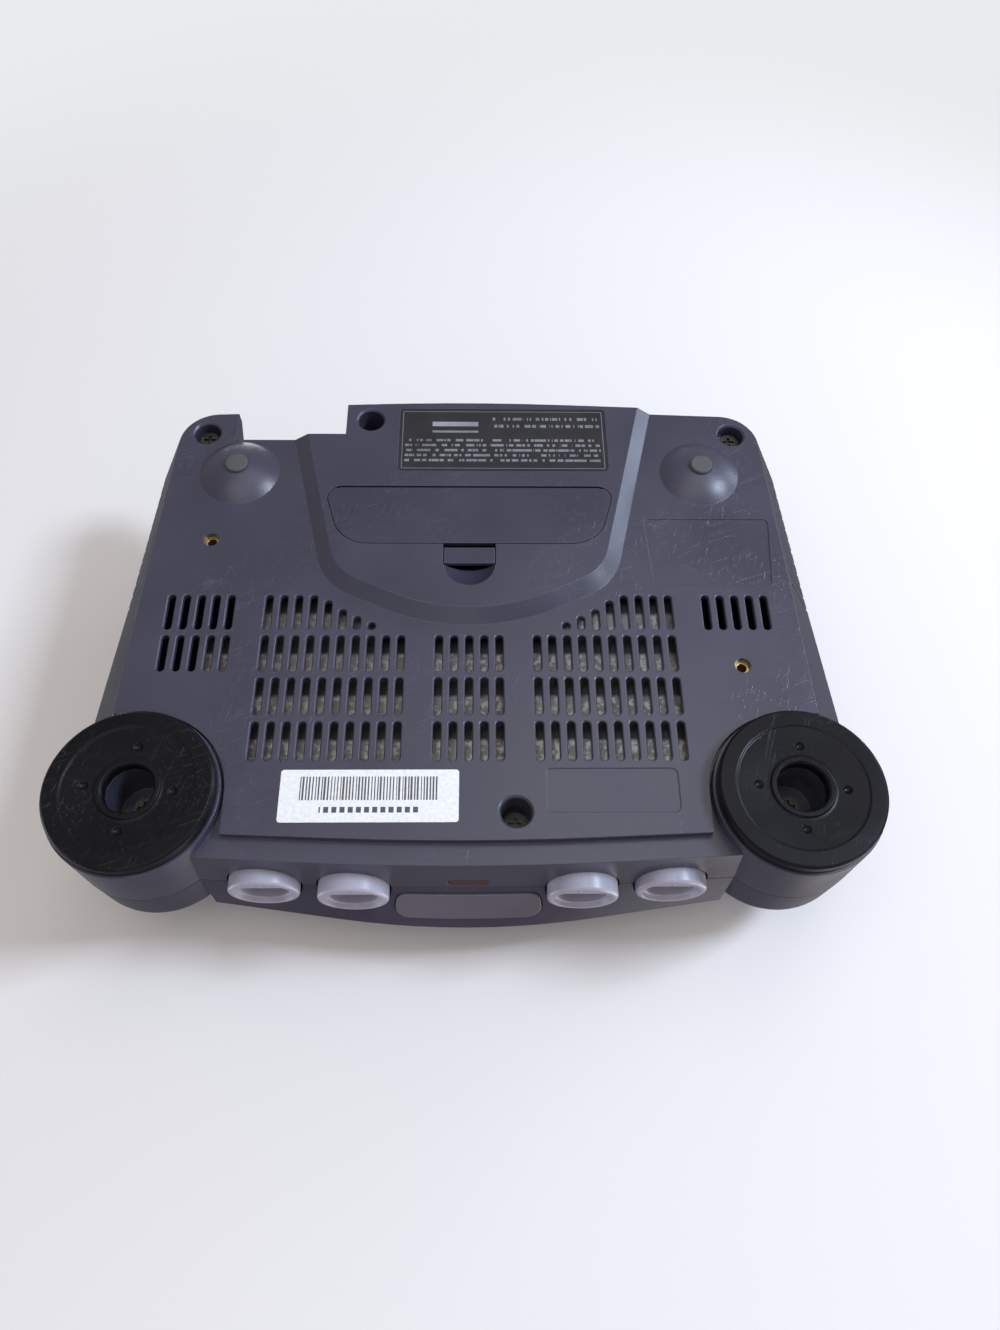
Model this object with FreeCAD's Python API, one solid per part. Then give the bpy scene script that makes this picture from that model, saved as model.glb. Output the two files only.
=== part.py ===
import FreeCAD, Part
import math
import os
from FreeCAD import Vector as V

# Table-top cartridge games console. Millimetres, +Z up, feet on z = 0, front at -Y.
# The origin is at the centre of the footprint.

# ---- driving dimensions --------------------------------------------------------------------
HEIGHT = 73.0          # table to the top of the raised middle
WALL = 2.2             # moulded case wall
PLATE_Z = 6.0          # underside plate above the table
HUMP_Z = 2.5           # raised middle of the underside above the table
LIP_Z = 9.0            # ledge under the front wall
SEAM_Z = 28.0          # joint between lower and upper case
NOSE_Z = 46.0          # height where the front stands out furthest
WING_Z = 57.0          # top of the lower wings beside the raised middle
DOME_FLAT = (-16.0, 64.0)          # level part of the raised middle, front to rear
DOME_ROLL = 7.0                    # radius of its rolled edges
GAP = 0.3              # clearance round anything that moves

FOOT_X, FOOT_Y = 103.1, -63.2      # axes of the two front legs
FOOT_R = 26.1                      # foot disc
FOOT_H = 4.4
FOOT_BORE_R = 7.85
FOOT_HUB_R = 10.2
DIMPLE_ORBIT = 13.6
LEG_R = 26.9
CUTOUT_R = 27.7                    # plate cut-out round a foot disc

DOME_X, DOME_Y = 85.0, 63.4        # rear feet
DOME_R, DOME_H = 14.6, 5.0
PAD_R, PAD_H = 4.1, 1.6
PAD_ROUND = 0.8                    # eased rim of a pad

SLOT_PITCH, SLOT_W, SLOT_L = 5.07, 2.5, 13.7       # underside air slots
ROW_PITCH, ROW_1 = 16.04, 3.0

BAY = (46.5, 88.3, 56.0, 22.0)     # supply bay: x low, x high, front wall y, floor z
NOTCH_Y = 79.0                     # the bay opens through the plate behind this line

RIB_PITCH, RIB_GAP = 5.2, 1.7      # upright ribs on both flanks
RIB_COUNT = 14
RIB_FIRST = 16.5                   # front edge of the first gap

PORT_X = (-64.6, -36.3, 36.3, 64.6)    # controller sockets
PORT_R = 11.3
PORT_Z = SEAM_Z
PORT_GAP = 0.6                     # shadow gap between a socket and the case

CART_Y = 34.0                      # cartridge slot
CART_L, CART_W = 118.0, 20.5
FLAP_Z = 67.2                      # hinge axes of the slot flaps
FLAP_T = 1.4

CONTROL_X, CONTROL_Y = 45.0, 0.0   # power slider at -X, reset button at +X
POWER_TRAVEL = 6.0                 # towards -Y
RESET_TRAVEL = 1.8                 # downwards

HATCH = (-27.0, 27.0, -63.0, -28.0)    # hatch over the memory module: x, x, y, y
BOARD_Z, BOARD_T = 17.4, 1.6

CASE_SCREWS = ((99.2, 82.2), (-99.2, 82.2), (37.4, 86.0), (-14.9, -69.0))
LEG_WELL_TOP = 20.0                # floors of the deep screw wells
POSTS = ((-75, -52), (75, -52), (-75, 44), (75, 44))


# ---- helpers -------------------------------------------------------------------------------
def rounded(points, z=0.0):
    """Closed wire through corners (x, y, radius), each corner rounded by a tangent arc."""
    count = len(points)
    corners = []
    for i, (x, y, r) in enumerate(points):
        p = V(x, y, z)
        before = V(points[i - 1][0], points[i - 1][1], z) - p
        after = V(points[(i + 1) % count][0], points[(i + 1) % count][1], z) - p
        before.normalize()
        after.normalize()
        if r <= 0:
            corners.append((p, p, None))
            continue
        half = before.getAngle(after) / 2
        reach = r / math.tan(half)
        middle = (before + after).normalize() * (r / math.sin(half) - r)
        corners.append((p + before * reach, p + after * reach, p + middle))
    edges = []
    for i, (start, end, middle) in enumerate(corners):
        if middle is not None:
            edges.append(Part.Arc(start, middle, end).toShape())
        following = corners[(i + 1) % count][0]
        if end.distanceToPoint(following) > 1e-6:
            edges.append(Part.makeLine(end, following))
    return Part.Wire(edges)


def mirrored(half):
    """Whole outline from its +X half, which starts and ends on the centre line."""
    return half + [(-x, y, r) for x, y, r in reversed(half[1:-1])]


def slab(points, z0, z1):
    return Part.Face(rounded(points, z0)).extrude(V(0, 0, z1 - z0))


def box(x0, x1, y0, y1, z0, z1):
    return Part.makeBox(x1 - x0, y1 - y0, z1 - z0, V(x0, y0, z0))


def rounded_box(x0, x1, y0, y1, z0, z1, r):
    return slab([(x0, y0, r), (x1, y0, r), (x1, y1, r), (x0, y1, r)], z0, z1)


def rod(x, y, z0, z1, r):
    return Part.makeCylinder(r, z1 - z0, V(x, y, z0))


def tube(x, y, z0, z1, r_out, r_in):
    return rod(x, y, z0, z1, r_out).cut(rod(x, y, z0, z1, r_in))


def side_prism(points_yz, x0, x1):
    """Prism with a side-view outline of (y, z) points, from x0 to x1."""
    wire = Part.makePolygon([V(x0, y, z) for y, z in points_yz + points_yz[:1]])
    return Part.Face(wire).extrude(V(x1 - x0, 0, 0))


def loft(sections, inset=0.0):
    """Solid through outlines (points, z), every outline moved inwards by inset."""
    wires = []
    for points, z in sections:
        wire = rounded(points, z)
        wires.append(wire.makeOffset2D(-inset) if inset else wire)
    return Part.makeLoft(wires, True, True)


def fused(shapes):
    first, *rest = shapes
    return first.multiFuse(rest).removeSplitter() if rest else first


def group(shapes):
    return Part.makeCompound(list(shapes))


def save(node, shape):
    shape.exportStep(os.path.join("parts", node + ".step"))


# ---- outlines: +X half, from the rear centre round to the front centre ------------------------
PLATE_LINE = mirrored([(0, 95.2, 900), (108.5, 91.0, 14), (112.0, 16, 300), (114.0, -40, 60),
                       (115.0, FOOT_Y, 0), (FOOT_X, FOOT_Y, 0), (85, -81.9, 0), (0, -86.3, 1000)])
SEAM_LINE = mirrored([(0, 95.2, 900), (119.4, 93.0, 17), (124.8, 16, 120), (129.6, -40, 60),
                      (130.0, FOOT_Y, 0), (FOOT_X, FOOT_Y, 0), (85, -83.4, 0), (0, -87.9, 1000)])
NOSE_LINE = mirrored([(0, 95.2, 900), (118.0, 91.2, 20), (123.2, 16, 120), (127.9, -40, 60),
                      (128.5, FOOT_Y, 0), (FOOT_X, FOOT_Y, 0), (84, -85.6, 0), (0, -97.5, 300)])
DOME_LINE = mirrored([(0, 95.2, 900), (71, 92.6, 8), (72, 20, 80), (57, -50, 40), (41, -82, 14),
                      (0, -86, 300)])


# ---- outer forms of the case, solid; inset shrinks them for the hollow inside -------------------
def wing_slope(inset):
    """What the sloping rear corners take away, either side of the raised middle."""
    rise = [(93.6 - inset, 8.6), (79.0 - inset, 28.0), (60.0 - inset, 50.0 - inset),
            (56.0, 100), (130, 100), (130, 8.6)]
    return [side_prism(rise, -140, inset - 66), side_prism(rise, BAY[0] - inset, 140)]


def legs(z0, z1, inset=0.0):
    return [rod(side * FOOT_X, FOOT_Y, z0, z1, LEG_R - inset) for side in (-1, 1)]


def lower_form(inset=0.0):
    body = loft([(PLATE_LINE, PLATE_Z + inset), (SEAM_LINE, SEAM_Z)], inset)
    return body.multiFuse(legs(FOOT_H + 0.2 + inset, SEAM_Z, inset))


def leg_top(side, inset):
    """Upper end of a front leg: straight, then rolled over to a soft crown."""
    r = LEG_R - inset
    top = 55.0 - inset
    path = Part.Wire([
        Part.makeLine(V(0, 0, SEAM_Z), V(r, 0, SEAM_Z)),
        Part.makeLine(V(r, 0, SEAM_Z), V(r - 0.6, 0, 43)),
        Part.Arc(V(r - 0.6, 0, 43), V(r - 4.2, 0, 51.4 - inset), V(r - 13, 0, 54.4 - inset)).toShape(),
        Part.makeLine(V(r - 13, 0, 54.4 - inset), V(0, 0, top)),
        Part.makeLine(V(0, 0, top), V(0, 0, SEAM_Z))])
    crown = Part.Face(path).revolve(V(0, 0, 0), V(0, 0, 1), 360)
    crown.translate(V(side * FOOT_X, FOOT_Y, 0))
    return crown


def dome_form(inset=0.0):
    """Raised middle: flat on top, falling to the front and rear, with rolled edges."""
    top = HEIGHT - inset
    outline = rounded(DOME_LINE, 20)
    if inset:
        outline = outline.makeOffset2D(-inset)
    breaks = (DOME_FLAT[0], DOME_FLAT[1])
    profile = [(-110, 19), (-110, 42.3 - inset), (breaks[0], top), (breaks[1], top),
               (110, 56 - inset), (110, 19)]
    body = Part.Face(outline).extrude(V(0, 0, 80)).common(side_prism(profile, -140, 140))
    rim = []
    for edge in body.Edges:
        b = edge.BoundBox
        upright = b.XLength < 0.01 and b.YLength < 0.01
        crease = b.YLength < 0.01 and any(abs(b.YMin - y) < 0.01 for y in breaks)
        if b.ZMin > 43 and not upright and not crease:
            rim.append(edge)
    body = body.makeFillet(DOME_ROLL - inset, rim)
    return body.cut(box(-140, 140, -120, 120, 0, SEAM_Z))


def wing_sections(inset):
    """Outlines of the lower body above the seam, drawn in step by step over its shoulder."""
    sections = [(SEAM_LINE, SEAM_Z, 0), (NOSE_LINE, NOSE_Z, 0), (NOSE_LINE, 50.0, 1.0),
                (NOSE_LINE, 53.4, 3.2), (NOSE_LINE, 55.8, 7.0), (NOSE_LINE, WING_Z, 13.0)]
    wires = []
    for points, z, drawn_in in sections:
        level = z if z <= NOSE_Z else z - inset * (z - NOSE_Z) / (WING_Z - NOSE_Z)
        wire = rounded(points, level)
        wires.append(wire.makeOffset2D(-inset - drawn_in) if inset + drawn_in else wire)
    return Part.makeLoft(wires, True, True)


def upper_form(inset=0.0):
    slopes = side_prism([(-100, 20), (-100, 46), (-84, 53.0 - inset), (-60, WING_Z - inset),
                         (30, WING_Z - inset), (62, 50 - inset), (100, 50 - inset), (100, 20)], -140, 140)
    wings = wing_sections(inset).common(slopes)
    return wings.multiFuse([leg_top(-1, inset), leg_top(1, inset), dome_form(inset)])


# ---- lower case --------------------------------------------------------------------------------
SHORT_SLOTS = (11.5, 8.0, 5.2, 2.8)    # slots of the rear row that the raised middle cuts short
WELLS = [(x, y, 12.0) for x, y in CASE_SCREWS[:2]]
WELLS += [(x, y, LEG_WELL_TOP) for x, y in CASE_SCREWS[2:]]
WELL_R, WELL_FLOOR = 4.8, 3.0
SCREW_HOLE_R = 2.1
INSERTS = ((91.5, 33.0), (-91.4, -17.8))
INSERT_Z0, INSERT_Z1 = 8.0, 15.0
INSERT_R, INSERT_OUT_R, INSERT_MOUTH_R = 1.65, 3.2, 2.7
HUMP_FOOT = mirrored([(0, 104, 0), (71.7, 104, 0), (51.0, 14.5, 23), (0, -9.6, 70)])
HUMP_BEVEL = 5.2                        # how far the raised middle draws in as it rises
COVER_LINE = [(52.6, 54.3, 5), (-52.6, 54.3, 5), (-45.5, 29.3, 13), (45.5, 29.3, 13)]
COVER_T = 1.8
COVER_HINGE = (53.4, HUMP_Z + COVER_T / 2)     # y, z: the middle of the cover's rounded rear edge
COVER_EDGE_X = 47.0                            # half its length
TAB_X, TAB_Y = 8.9, (20.7, 27.3)
RATING = (-50.7, 26.2, 62.0, 91.3)
SERIAL = (2.8, 58.3, -72.4, -55.1)
BLANK_REAR = [(-62.6, 42.6, 2), (-64.6, 14.1, 2), (-105.6, 14.1, 2), (-108.0, 42.6, 2)]
BLANK_FRONT = (-66, -24.5, -69.3, -54.6)
BLANK_DEPTH = 0.35


def plate_front(inset):
    """Front part of the flat plate: everything between and behind the foot cut-outs."""
    keep = box(-FOOT_X, FOOT_X, FOOT_Y, -30, 0, 30)
    for side in (-1, 1):
        keep = keep.cut(rod(side * FOOT_X, FOOT_Y, -1, 31, CUTOUT_R + inset))
    edge = FOOT_X - CUTOUT_R - inset
    nose = slab([(edge, FOOT_Y + 2, 0), (-edge, FOOT_Y + 2, 0), (-edge, -75.9 + inset, 1),
                 (0, -79.0 + inset, 1000), (edge, -75.9 + inset, 1)], 0, 30)
    return keep.fuse(nose)


def step(inset):
    """Space under the front ledge and round the feet."""
    reach = FOOT_Y + CUTOUT_R + inset
    return box(-140, 140, -110, reach, -1, LIP_Z + inset).cut(plate_front(inset))


def stadium(x, y, length, r, z):
    half = max(length / 2 - r, 0.02)
    return Part.Wire([
        Part.makeLine(V(x + r, y - half, z), V(x + r, y + half, z)),
        Part.Arc(V(x + r, y + half, z), V(x, y + half + r, z), V(x - r, y + half, z)).toShape(),
        Part.makeLine(V(x - r, y + half, z), V(x - r, y - half, z)),
        Part.Arc(V(x - r, y - half, z), V(x, y - half - r, z), V(x + r, y - half, z)).toShape()])


def air_slot(x, y, length):
    r = SLOT_W / 2
    softened = 0.4
    mouth = Part.makeLoft([stadium(x, y, length + 2 * softened, r + softened, PLATE_Z - 0.05),
                           stadium(x, y, length, r, PLATE_Z + softened)], True, True)
    return mouth.fuse(Part.Face(stadium(x, y, length, r, PLATE_Z + softened)).extrude(V(0, 0, 5)))


def air_slots():
    slots = []
    middle = 2 + 2.507
    outer = middle + 9 + 2.554
    for row in (1, 2, 3):
        y = ROW_1 - row * ROW_PITCH
        slots += [air_slot(k * SLOT_PITCH, y, SLOT_L) for k in range(-2, 3)]
        for side in (-1, 1):
            slots += [air_slot(side * (middle + k) * SLOT_PITCH, y, SLOT_L) for k in range(10)]
    for side in (-1, 1):
        slots += [air_slot(side * (middle + k) * SLOT_PITCH, ROW_1, SLOT_L) for k in range(6, 10)]
        for k, length in enumerate(SHORT_SLOTS):
            y = ROW_1 - (SLOT_L - length) / 2
            slots.append(air_slot(side * (middle + 5 - k) * SLOT_PITCH, y, length))
        slots += [air_slot(side * (outer + k) * SLOT_PITCH, ROW_1, SLOT_L) for k in range(5)]
    slots += [air_slot((outer + k) * SLOT_PITCH, ROW_1 - ROW_PITCH, SLOT_L) for k in range(5)]
    return slots


def side_grooves(z0, z1, keep):
    """Upright grooves between the ribs of both flanks; keep is the form that stays uncut."""
    cuts = []
    for side in (-1, 1):
        for k in range(RIB_COUNT):
            y = RIB_FIRST + RIB_PITCH * k
            low, high = sorted((side * 100, side * 140))
            cuts.append(box(low, high, y, y + RIB_GAP, z0, z1))
    return group(cuts).cut(keep)


def seam_groove():
    """Fine groove all round where the two halves of the case meet, cut into the lower half."""
    band = box(-140, 140, -110, 110, SEAM_Z - 0.35, SEAM_Z)
    return lower_form().cut(lower_form(0.7)).common(band)


def bay(grow):
    """The open corner bay for the supply, grown by the wall round it."""
    x0, x1, y0, z0 = BAY
    pocket = box(x0 - grow, x1 + grow, y0 - grow, 110, z0 - grow, 100)
    return pocket.fuse(box(x0 - grow, x1 + grow, NOTCH_Y - grow, 110, -1, z0 + 1))


def lower_case():
    case = loft([(PLATE_LINE, PLATE_Z), (SEAM_LINE, SEAM_Z)]).cut(step(0.0))
    hump = Part.makeLoft([rounded(HUMP_FOOT, PLATE_Z), rounded(HUMP_FOOT, HUMP_Z).makeOffset2D(-HUMP_BEVEL)],
                         True, True)
    hump = hump.common(slab(PLATE_LINE, 0, PLATE_Z))
    case = case.multiFuse([hump] + legs(FOOT_H + 0.2, SEAM_Z))
    for wedge in wing_slope(0.0):
        case = case.cut(wedge)
    ball = (DOME_R ** 2 + DOME_H ** 2) / (2 * DOME_H)
    domes = []
    for side in (-1, 1):
        centre = V(side * DOME_X, DOME_Y, PLATE_Z - DOME_H + ball)
        cap = Part.makeSphere(ball, centre).common(box(-140, 140, 0, 100, 0, PLATE_Z + 0.5))
        domes.append(cap.cut(rod(centre.x, centre.y, 0, PAD_H, PAD_R)))
    case = case.multiFuse(domes).cut(bay(0.0))

    hollow = loft([(PLATE_LINE, PLATE_Z + WALL), (SEAM_LINE, SEAM_Z + 0.01)], WALL)
    hollow = hollow.cut(step(WALL)).multiFuse(legs(FOOT_H + 0.2 + WALL, SEAM_Z + 0.01, WALL))
    hump_hollow = Part.makeLoft([rounded(HUMP_FOOT, PLATE_Z + WALL + 0.1).makeOffset2D(-WALL - 1),
                                 rounded(HUMP_FOOT, HUMP_Z + WALL).makeOffset2D(-HUMP_BEVEL - WALL)], True, True)
    hump_hollow = hump_hollow.cut(box(-100, 100, 94.5 - WALL, 110, 0, 20))
    hump_hollow = hump_hollow.cut(rod(0, TAB_Y[0], 0, 20, 11.6))
    hollow = hollow.fuse(hump_hollow).cut(bay(WALL))
    for wedge in wing_slope(WALL):
        hollow = hollow.cut(wedge)
    wells = [rod(x, y, 0, top + WELL_FLOOR, WELL_R + 1.6) for x, y, top in WELLS]
    leg_floor = LEG_WELL_TOP + WELL_FLOOR
    wells += [rod(side * FOOT_X, FOOT_Y, 0, leg_floor, FOOT_BORE_R + 1.8) for side in (-1, 1)]
    bosses = [rod(x, y, 0, INSERT_Z1 + 1.2, 5.0) for x, y in INSERTS]
    posts = [rod(x, y, 0, BOARD_Z, 3.2) for x, y in POSTS]
    hollow = hollow.cut(group(wells)).cut(group(bosses + posts))
    case = case.cut(hollow)

    x0, x1, y0, y1 = RATING
    cuts = [rounded_box(x0 - 0.3, x1 + 0.3, y0 - 0.3, y1 + 0.3, 0, HUMP_Z + 0.4, 1.6),
            slab(BLANK_REAR, 0, PLATE_Z + BLANK_DEPTH),
            rounded_box(*BLANK_FRONT, 0, PLATE_Z + BLANK_DEPTH, 2)]
    for x, y, top in WELLS:
        mouth_z = HUMP_Z if x == CASE_SCREWS[2][0] else PLATE_Z
        cuts += [rod(x, y, 0, top, WELL_R), rod(x, y, 0, 30, SCREW_HOLE_R),
                 Part.makeCone(WELL_R + 0.7, WELL_R, 0.7, V(x, y, mouth_z))]
    for side in (-1, 1):
        cuts += [rod(side * FOOT_X, FOOT_Y, 0, LEG_WELL_TOP, FOOT_BORE_R),
                 rod(side * FOOT_X, FOOT_Y, 0, 30, SCREW_HOLE_R)]
    for x, y in INSERTS:
        cuts += [rod(x, y, 0, INSERT_Z0, INSERT_MOUTH_R), rod(x, y, INSERT_Z0, INSERT_Z1, INSERT_OUT_R)]
    cuts += [rod(x, y, 9.0, 20, 1.2) for x, y in POSTS]
    cuts += [Part.Face(rounded(COVER_LINE).makeOffset2D(GAP)).extrude(V(0, 0, HUMP_Z + COVER_T + 0.1)),
             Part.Face(rounded(COVER_LINE).makeOffset2D(-3.0)).extrude(V(0, 0, 12)),
             box(-TAB_X - GAP, TAB_X + GAP, TAB_Y[0] - GAP, 33, 0, 12),
             Part.makeSphere(12.0, V(0, TAB_Y[0], -5.4)).common(box(-20, 20, 0, TAB_Y[0] + 3, 0, 20))]
    cuts += [along_y(x, PORT_Z, -95, -75, PORT_R + PORT_GAP) for x in PORT_X]
    cuts.append(rounded_lens(0.15, -95, -80))
    cuts.append(inlet_hole())
    for tool in cuts:
        case = case.cut(tool)
    case = case.cut(group(air_slots()))
    keep = loft([(PLATE_LINE, PLATE_Z), (SEAM_LINE, SEAM_Z)], 1.5)
    return case.cut(side_grooves(9.5, SEAM_Z, keep)).cut(seam_groove())


def rounded_lens(grow, y0, y1):
    """Slot for the power lamp's window, in the front wall just under the seam."""
    wide, low, high = 6.2 + grow, 21.6 - grow, 25.2 + grow
    wire = rounded([(-wide, low, 1.2), (wide, low, 1.2), (wide, high, 1.2), (-wide, high, 1.2)])
    face = Part.Face(wire)
    face.rotate(V(0, 0, 0), V(1, 0, 0), 90)
    face.translate(V(0, y0, 0))
    return face.extrude(V(0, y1 - y0, 0))


def inlet_hole():
    """Opening in the bay's front wall for the supply's plug."""
    return box(54, 80, BAY[2] - 5, BAY[2] + 1, 31, 41)


# ---- upper case --------------------------------------------------------------------------------
CONTROL_POCKET = 1.6
CONTROLS = ((-CONTROL_X, CONTROL_Y), (CONTROL_X, CONTROL_Y))
AV_X, AV_Z = -18.0, 37.0
AV_W, AV_H = 24.0, 10.0
CONTROL_BOARD_Z = 54.0
CONTROL_SCREW_X = (-24, 24)


def cart_opening(grow, z0, z1):
    return rounded_box(-CART_L / 2 - grow, CART_L / 2 + grow, CART_Y - CART_W / 2 - grow,
                       CART_Y + CART_W / 2 + grow, z0, z1, 1.5)


def hatch_slab(inset, z0, z1):
    x0, x1, y0, y1 = HATCH
    return rounded_box(x0 + inset, x1 - inset, y0 + inset, y1 - inset, z0, z1, 3.0)


def upper_case():
    outer = upper_form()
    inner = upper_form(WALL)
    case = outer.cut(bay(0.0))
    hollow = inner.cut(bay(WALL))
    for solid_wedge, hollow_wedge in zip(wing_slope(0.0), wing_slope(WALL)):
        case = case.cut(solid_wedge)
        hollow = hollow.cut(hollow_wedge)
    floor = LEG_WELL_TOP + WELL_FLOOR
    bosses = [rod(x, y, SEAM_Z - 0.1, 80, 3.8) for x, y in CASE_SCREWS[2:]]
    bosses += [rod(side * FOOT_X, FOOT_Y, SEAM_Z - 0.1, 80, 4.2) for side in (-1, 1)]
    pads = [box(x - 11, x + 11, y - 15, y + 15, HEIGHT - 4.6, 80) for x, y in CONTROLS]
    board_posts = [rod(x, 0, CONTROL_BOARD_Z + 1.6, 80, 2.6) for x in CONTROL_SCREW_X]
    ledge = hatch_slab(-1.0, 30, 80).cut(hatch_slab(1.8, 30, 80)).common(inner)
    ledge = ledge.cut(upper_form(WALL + 1.3))
    hollow = hollow.cut(group(bosses + board_posts)).cut(group(pads)).cut(ledge)
    case = case.cut(hollow)
    case = case.cut(hatch_slab(0.0, 30, 80).common(outer.cut(upper_form(WALL + 0.25))))
    case = case.cut(hatch_slab(1.8, 30, 80))
    spigots = [rod(x, y, floor, SEAM_Z, 3.8) for x, y in CASE_SCREWS[2:]]
    spigots += [rod(side * FOOT_X, FOOT_Y, floor, SEAM_Z, 4.2) for side in (-1, 1)]
    lugs = []
    for side in (-1, 1):
        x0, x1 = sorted((side * 94.5, side * 104))
        lugs.append(box(x0, x1, 66, 85.2, 15.0, 17.0).fuse(box(x0, x1, 66, 68.2, 15.0, 38)))
    case = case.multiFuse(spigots + lugs)
    cuts = [cart_opening(0.0, 60, 80)]
    cuts += [rounded_box(x - 9, x + 9, y - 13, y + 13, HEIGHT - CONTROL_POCKET, 80, 4)
             for x, y in CONTROLS]
    cuts.append(rounded_box(-CONTROL_X - 2.8, -CONTROL_X + 2.8, -POWER_TRAVEL - 3.0, 3.2, 60, 80, 1.0))
    cuts.append(rod(CONTROL_X, CONTROL_Y, 60, 80, 6.3))
    cuts += [rod(x, y, floor - 9, floor + 12, 1.9) for x, y in CASE_SCREWS[2:]]
    cuts += [rod(side * FOOT_X, FOOT_Y, floor - 9, floor + 12, 1.9) for side in (-1, 1)]
    cuts += [rod(x, y, 10, 20, 1.9) for x, y in CASE_SCREWS[:2]]
    cuts += [rod(x, 0, CONTROL_BOARD_Z, CONTROL_BOARD_Z + 8, 1.0) for x in CONTROL_SCREW_X]
    cuts += [along_y(x, PORT_Z, -97, -77, PORT_R + PORT_GAP) for x in PORT_X]
    cuts.append(box(AV_X - AV_W / 2, AV_X + AV_W / 2, 85, 100, AV_Z - AV_H / 2, AV_Z + AV_H / 2))
    cuts.append(inlet_hole())
    for tool in cuts:
        case = case.cut(tool)
    return case.cut(side_grooves(SEAM_Z, 47, wing_sections(1.5))).cut(badge_groove())


# ---- feet, covers and small outside pieces ------------------------------------------------------
def foot_disc(side):
    profile = rounded_profile([(FOOT_BORE_R, 0.9), (8.5, 0.15), (9.7, 0.15), (FOOT_HUB_R, 0.9), (11, 1.0),
                               (20.2, 0.35), (20.8, 0.0), (25.3, 0.0), (FOOT_R, 0.8), (FOOT_R, FOOT_H),
                               (24.5, FOOT_H), (24.5, FOOT_H + 0.2), (FOOT_BORE_R, FOOT_H + 0.2)])
    disc = profile.revolve(V(0, 0, 0), V(0, 0, 1), 360)
    for k in range(4):
        angle = math.radians(90 * k + 4)
        x, y = DIMPLE_ORBIT * math.cos(angle), DIMPLE_ORBIT * math.sin(angle)
        disc = disc.cut(Part.makeSphere(1.7, V(x, y, 0.0)))
    disc.translate(V(side * FOOT_X, FOOT_Y, 0))
    return disc


def foot_pad(side):
    """Rubber pad in the middle of a rear dome, its standing rim eased."""
    pad = rod(side * DOME_X, DOME_Y, 0, PAD_H, PAD_R)
    return pad.makeFillet(PAD_ROUND, [e for e in pad.Edges if e.BoundBox.ZMax < 0.01])


def rounded_profile(points_rz):
    wire = Part.makePolygon([V(r, 0, z) for r, z in points_rz + points_rz[:1]])
    return Part.Face(wire)


def expansion_cover():
    y, z = COVER_HINGE
    plate = slab(COVER_LINE, HUMP_Z, HUMP_Z + COVER_T).cut(box(-60, 60, y, 60, 0, 10))
    edge = along_x(y, z, -COVER_EDGE_X, COVER_EDGE_X, COVER_T / 2)
    top = HUMP_Z + COVER_T
    hooks = [box(x - 4, x + 4, 48, 51, top - 0.1, top + 2.2) for x in (-30, 30)]
    tab = [box(-TAB_X, TAB_X, TAB_Y[0], TAB_Y[1], HUMP_Z, HUMP_Z + 1.5),
           box(-TAB_X, TAB_X, TAB_Y[1] - 1.2, TAB_Y[1], HUMP_Z, 8.2),
           box(-TAB_X, TAB_X, TAB_Y[1] - 1.2, 32.3, 7.2, 8.2),
           box(-TAB_X, TAB_X, 31.3, 32.3, HUMP_Z + COVER_T - 0.5, 8.2)]
    return fused([plate, edge] + hooks + tab)


def badge_column(grow):
    """The badge's outline carried through the nose, grown all round."""
    wire = rounded([(-22.6, 30.6, 3.2), (22.6, 30.6, 3.2), (24.4, 41.2, 4.5), (-24.4, 41.2, 4.5)])
    if grow:
        wire = wire.makeOffset2D(grow)
    face = Part.Face(wire)
    face.rotate(V(0, 0, 0), V(1, 0, 0), 90)
    face.translate(V(0, -110, 0))
    return face.extrude(V(0, 30, 0))


def badge_groove():
    """Fine groove in the nose round the badge."""
    sunk = upper_form()
    sunk.translate(V(0, 0.8, 0))
    return badge_column(0.45).cut(badge_column(0.0)).cut(sunk)


def badge():
    column = badge_column(0.0)
    form = upper_form()
    raised = form.copy()
    raised.translate(V(0, -0.5, 0))
    return column.common(raised).cut(form)


def lamp_window():
    wall = loft([(PLATE_LINE, PLATE_Z), (SEAM_LINE, SEAM_Z)])
    return rounded_lens(0.0, -95, -83.5).common(wall)


def insert(x, y):
    return tube(x, y, INSERT_Z0, INSERT_Z1, INSERT_OUT_R, INSERT_R)


def screw(x, y, floor, head_r, shank_r, length):
    """Pan-head screw driven upwards: head under the floor, shank above it."""
    head = rod(x, y, floor - 2.2, floor, head_r)
    recess = box(x - head_r * 0.6, x + head_r * 0.6, y - 0.5, y + 0.5, floor - 2.3, floor - 1.2)
    cross = box(x - 0.5, x + 0.5, y - head_r * 0.6, y + head_r * 0.6, floor - 2.3, floor - 1.2)
    return head.fuse(rod(x, y, floor, floor + length, shank_r)).cut(recess).cut(cross)


# ---- controller sockets --------------------------------------------------------------------------
PORT_BACK = -79.0
PORT_ROUND = 1.1                       # rolled rim
PORT_SINK, PORT_FACE_R = 1.5, 8.9      # face set back inside the rim
PIN_PITCH, PIN_Z = 2.3, PORT_Z - 0.1


def port_front(x):
    return -88.2 if abs(x) > 50 else -90.4


def along_y(x, z, y0, y1, r):
    return Part.makeCylinder(r, y1 - y0, V(x, y0, z), V(0, 1, 0))


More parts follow.
